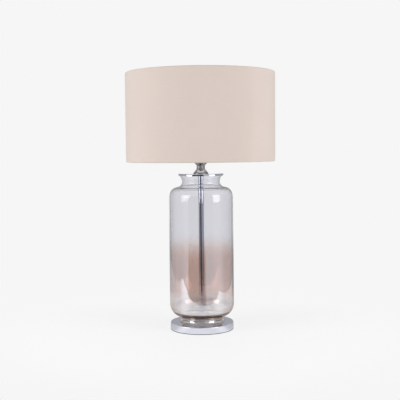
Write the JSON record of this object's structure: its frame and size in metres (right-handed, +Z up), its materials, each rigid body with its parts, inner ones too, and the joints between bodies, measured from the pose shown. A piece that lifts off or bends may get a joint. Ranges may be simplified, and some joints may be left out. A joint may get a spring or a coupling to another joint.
{
  "type": "table lamp",
  "caption": "Table lamp with a clear to copper glass cylinder body on a round chrome base, and a wide straight drum shade.",
  "frame": {"origin": "centre of the base's underside, on the table", "axes": "+Z up along the lamp's axis; -Y is the front, and the cable outlet is in the rear wall at +Y; the switch's push bar lies along X"},
  "size_m": [0.36, 0.36, 0.6208],
  "materials": {
    "pad": "black foam rubber",
    "chrome": "polished chrome plate",
    "iron": "black painted casting",
    "zinc": "zinc plated",
    "black_plastic": "moulded",
    "glass": "blown, clear above and copper lustre below",
    "gasket": "translucent silicone",
    "nickel": "polished nickel plate",
    "holder_plastic": "moulded thermoset",
    "switch_plastic": "moulded",
    "porcelain": "unglazed porcelain",
    "brass": "pressed brass",
    "white_wire": "white powder coat",
    "liner": "white styrene laminate",
    "fabric": "fine woven cotton, champagne",
    "bulb_black": "black glass",
    "bulb_aluminium": "rolled aluminium",
    "bulb_white": "white moulding"
  },
  "bodies": {
    "root": {"base_pad": "pad", "base_shell": "chrome", "base_weight": "iron", "base_washer": "zinc", "base_lock_washer": "zinc", "base_nut": "zinc", "holder_locknut": "zinc", "threaded_tube": "zinc", "terminal_screws": "zinc", "cable_grommet": "black_plastic", "tube_bushings": "black_plastic", "stem_sleeve": "chrome", "top_lid": "chrome", "glass_body": "glass", "foot_gasket": "gasket", "neck_gasket": "gasket", "neck_bell": "nickel", "neck_collar": "nickel", "holder_cup": "nickel", "holder_cap": "holder_plastic", "holder_skirt": "holder_plastic", "shade_ring": "holder_plastic", "contact_carrier": "porcelain", "screw_shell": "brass", "centre_contact": "brass", "contact_rivet": "brass", "terminal_clamps": "brass", "switch_contacts": "brass", "shade_carrier": "white_wire", "top_hoop": "white_wire", "shade_liner": "liner", "shade_fabric": "fabric", "bulb_contact": "brass", "bulb_insulator": "bulb_black", "bulb_screw_cap": "bulb_aluminium", "bulb_collar": "bulb_white", "bulb_dome": "bulb_white"},
    "push_bar": {"switch_bar": "switch_plastic", "switch_bridge": "brass"}
  },
  "joints": [
    {"name": "switch_slide", "type": "slide", "parent": "root", "child": "push_bar", "axis": [1, 0, 0], "range_m": [0, 0.005]}
  ]
}
